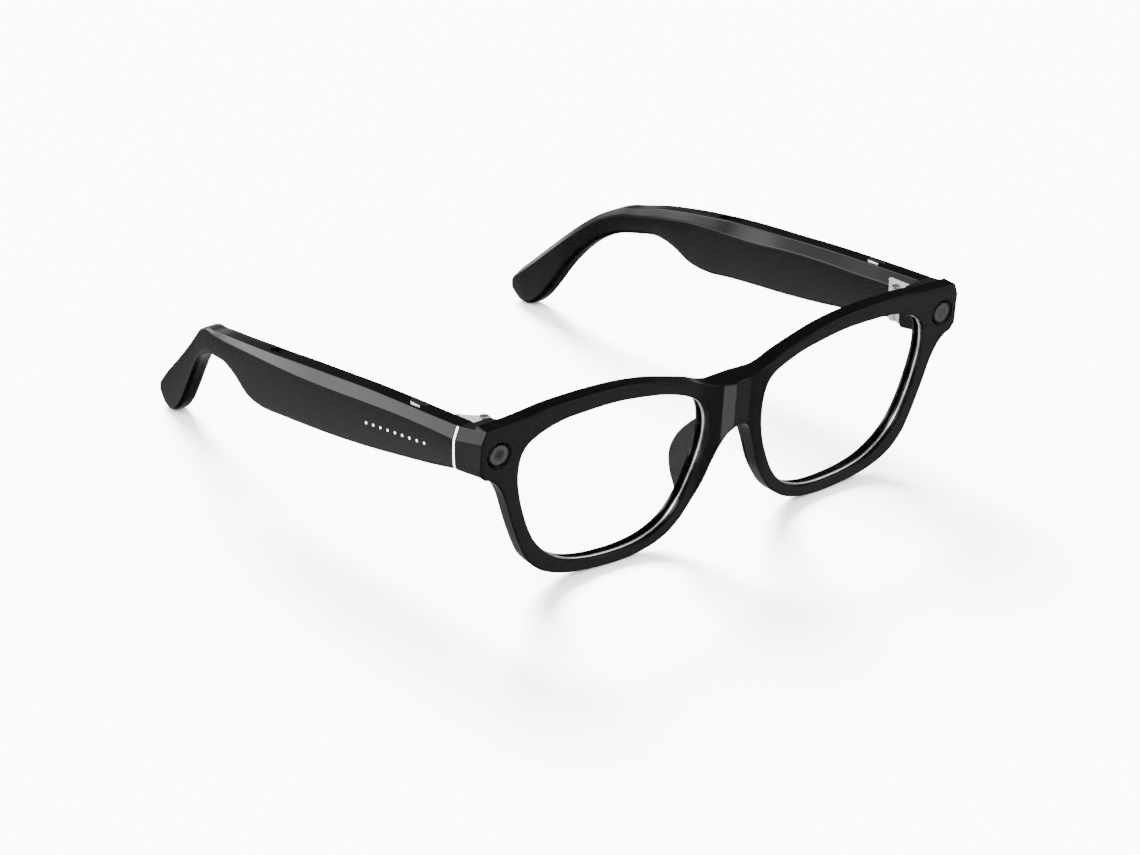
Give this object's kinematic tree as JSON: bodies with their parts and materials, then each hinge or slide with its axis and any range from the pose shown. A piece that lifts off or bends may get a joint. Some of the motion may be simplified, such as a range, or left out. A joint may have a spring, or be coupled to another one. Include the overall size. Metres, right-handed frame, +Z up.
{
  "type": "smart glasses",
  "caption": "Smart glasses: square-rimmed front with camera and status light, clear lenses, and two wide folding temples that hold battery, boards, speakers and buttons.",
  "frame": {"origin": "on the table under the middle of the glasses' bounding box, temples open", "axes": "+Z up, the front faces -Y and the temples run back along +Y, +X is the wearer's left; the glasses stand on the rims and the temple tips"},
  "size_m": [0.1523, 0.1593, 0.0479],
  "materials": {
    "black_shell": "black moulded plastic, satin-gloss",
    "bright_ring": "thin bright ring",
    "clear_lens": "clear lens without power",
    "pad": "satin black",
    "window_glass": "smoked cover glass",
    "bezel": "satin black",
    "circuit_board": "green solder mask",
    "light": "diffuser over a light on its board",
    "seam_metal": "polished",
    "hinge_metal": "bright nickel finish",
    "battery_foil": "pouch foil",
    "speaker": "black moulding",
    "grille": "black coated",
    "small_metal": "stamped can",
    "button": "glossy black with a bright edge",
    "marks": "white inlaid dots",
    "contacts": "gold plated"
  },
  "bodies": {
    "front": {"front_frame": "black_shell", "right_lens": "clear_lens", "left_lens": "clear_lens", "right_lens_ring": "bright_ring", "left_lens_ring": "bright_ring", "right_nose_pad": "pad", "left_nose_pad": "pad", "light_bezel": "bezel", "camera_bezel": "bezel", "light_window": "window_glass", "camera_window": "window_glass", "camera_barrel": "bezel", "camera_sensor": "circuit_board", "status_light": "light", "right_end_cover": "black_shell", "left_end_cover": "black_shell", "right_seam_plate": "seam_metal", "left_seam_plate": "seam_metal", "right_front_hinge_leaf": "hinge_metal", "left_front_hinge_leaf": "hinge_metal", "right_front_hinge_screws": "hinge_metal", "left_front_hinge_screws": "hinge_metal"},
    "right_temple": {"right_outer_shell": "black_shell", "right_inner_cover": "black_shell", "right_temple_hinge_leaf": "hinge_metal", "right_temple_hinge_screws": "hinge_metal", "right_hinge_screw": "hinge_metal", "right_main_board": "circuit_board", "right_battery": "battery_foil", "right_speaker": "speaker", "right_speaker_grille": "grille", "right_microphone": "small_metal", "right_button_switch": "small_metal", "touch_marks": "marks", "charging_contacts": "contacts"},
    "left_temple": {"left_outer_shell": "black_shell", "left_inner_cover": "black_shell", "left_temple_hinge_leaf": "hinge_metal", "left_temple_hinge_screws": "hinge_metal", "left_hinge_screw": "hinge_metal", "left_main_board": "circuit_board", "left_battery": "battery_foil", "left_speaker": "speaker", "left_speaker_grille": "grille", "left_microphone": "small_metal", "left_button_switch": "small_metal"},
    "right_button": {"right_push_button": "button"},
    "left_button": {"left_push_button": "button"}
  },
  "joints": [
    {"name": "right_temple_fold", "type": "hinge", "parent": "front", "child": "right_temple", "pos_m": [-0.0652, -0.0623, 0.0385], "axis": [0, 0, -1], "range_deg": [0, 73]},
    {"name": "left_temple_fold", "type": "hinge", "parent": "front", "child": "left_temple", "pos_m": [0.0652, -0.0623, 0.0385], "axis": [0, 0, 1], "range_deg": [0, 88]},
    {"name": "right_button_press", "type": "slide", "parent": "right_temple", "child": "right_button", "axis": [0, 0, -1], "range_m": [0, 0.0003], "stiffness_N_per_m": 1500},
    {"name": "left_button_press", "type": "slide", "parent": "left_temple", "child": "left_button", "axis": [0, 0, -1], "range_m": [0, 0.0003], "stiffness_N_per_m": 1500}
  ]
}
